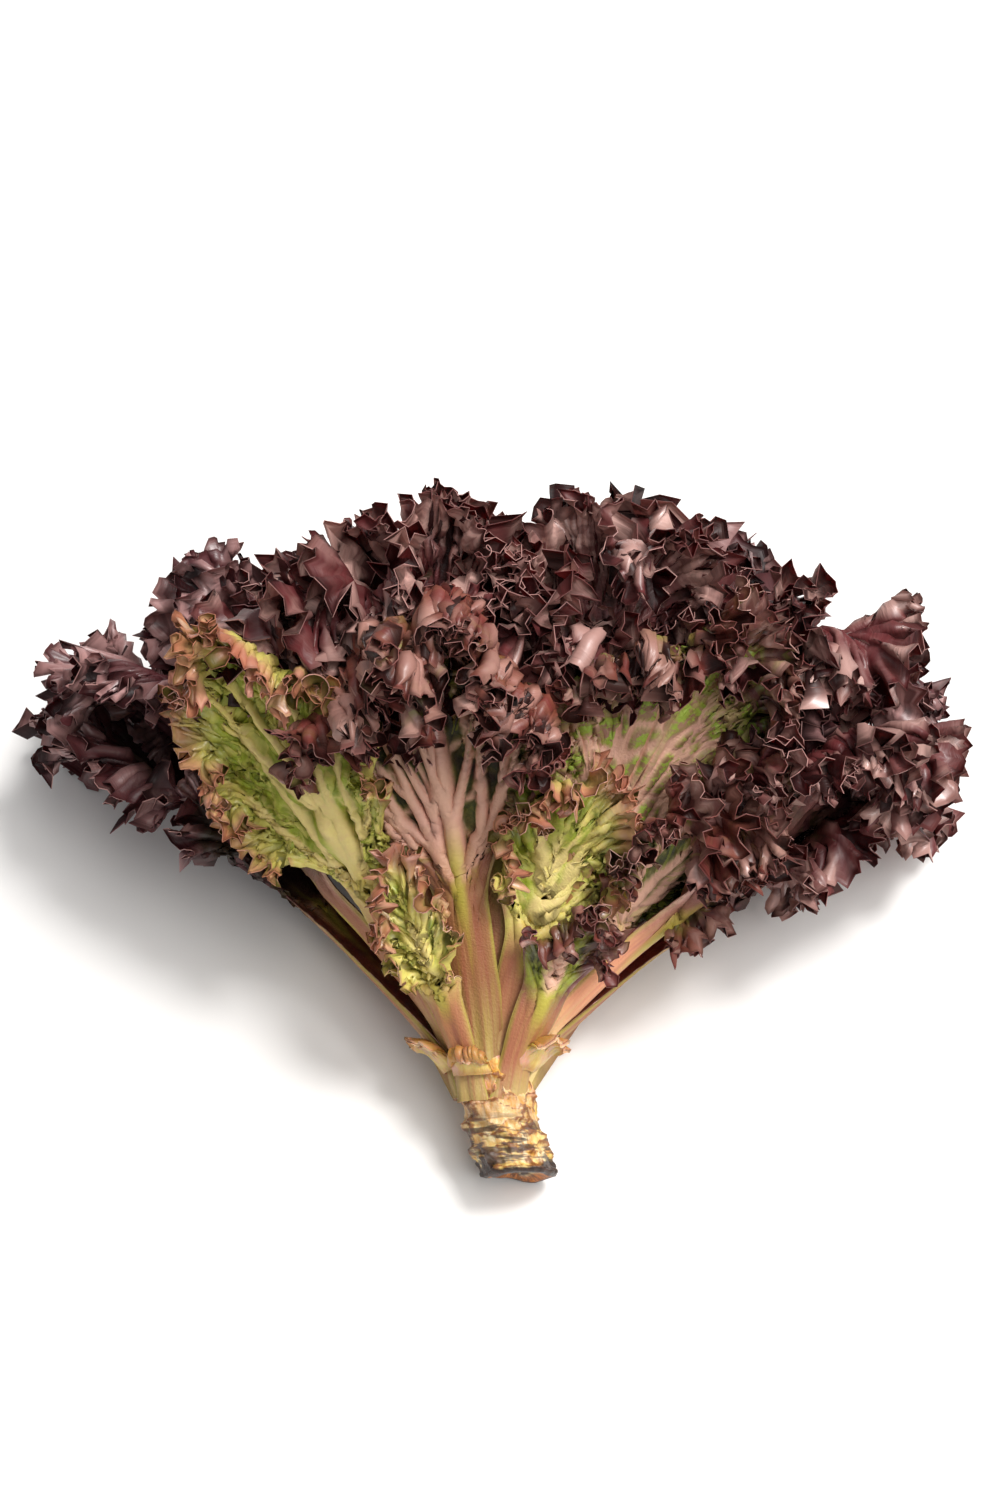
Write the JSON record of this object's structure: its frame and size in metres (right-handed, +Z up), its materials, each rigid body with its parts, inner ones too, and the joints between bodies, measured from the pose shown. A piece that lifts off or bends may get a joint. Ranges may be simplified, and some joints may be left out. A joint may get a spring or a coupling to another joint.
{
  "type": "red leaf lettuce",
  "caption": "Picked head of frilly red leaf lettuce lying on its side, with a cut stem, torn leaf bases and a fan of nested curled leaves.",
  "frame": {"origin": "the middle of the footprint, on the plane that the head lies on", "axes": "+Z up from that plane; the cut stem points towards -Y and the leaf tips towards +Y; +X across the fan of leaves"},
  "size_m": [0.265, 0.1996, 0.1264],
  "materials": {
    "leaf_dark": "dark burgundy frilled leaf, satin with a waxy sheen",
    "leaf_red": "burgundy to rose frilled leaf with paler ribs, satin",
    "leaf_bronze": "rose-brown leaf over green with pink ribs, satin",
    "leaf_green": "yellow-green leaf flushed with rose at its frills, satin",
    "stem": "cream stump with rust-brown scars and a browned cut"
  },
  "bodies": {
    "root": {"stem": "stem", "torn_leaf_base_middle": "stem", "torn_leaf_base_left": "stem", "torn_leaf_base_right": "stem", "leaf_small_right": "leaf_bronze", "leaf_small_left": "leaf_green", "leaf_left_on_table": "leaf_dark", "leaf_right_on_table": "leaf_red", "leaf_right_outer": "leaf_red", "leaf_left_outer": "leaf_green", "leaf_under_middle": "leaf_dark", "leaf_front_middle": "leaf_bronze", "leaf_under_right": "leaf_dark", "leaf_right_middle": "leaf_red", "leaf_under_left": "leaf_dark", "leaf_green_middle": "leaf_green", "leaf_left_side": "leaf_dark", "leaf_right_side": "leaf_dark", "leaf_front_right": "leaf_bronze", "leaf_left_shoulder": "leaf_red", "leaf_under_inner": "leaf_dark", "leaf_front_left": "leaf_red", "leaf_right_shoulder": "leaf_red", "leaf_left_low": "leaf_dark", "leaf_right_low": "leaf_dark", "leaf_top": "leaf_red", "leaf_left_inner": "leaf_dark", "leaf_top_right": "leaf_red", "leaf_low_left_inner": "leaf_dark", "leaf_low_right_inner": "leaf_dark", "leaf_right_inner": "leaf_dark", "leaf_top_left": "leaf_red", "leaf_heart_left": "leaf_dark", "leaf_heart_top": "leaf_red", "leaf_heart_under": "leaf_dark", "leaf_heart_right": "leaf_red", "leaf_heart_upper_left": "leaf_red", "leaf_heart_lower_right": "leaf_red", "leaf_heart_small_top": "leaf_red", "leaf_heart_small_low": "leaf_bronze", "leaf_heart_core": "leaf_green"}
  },
  "joints": []
}
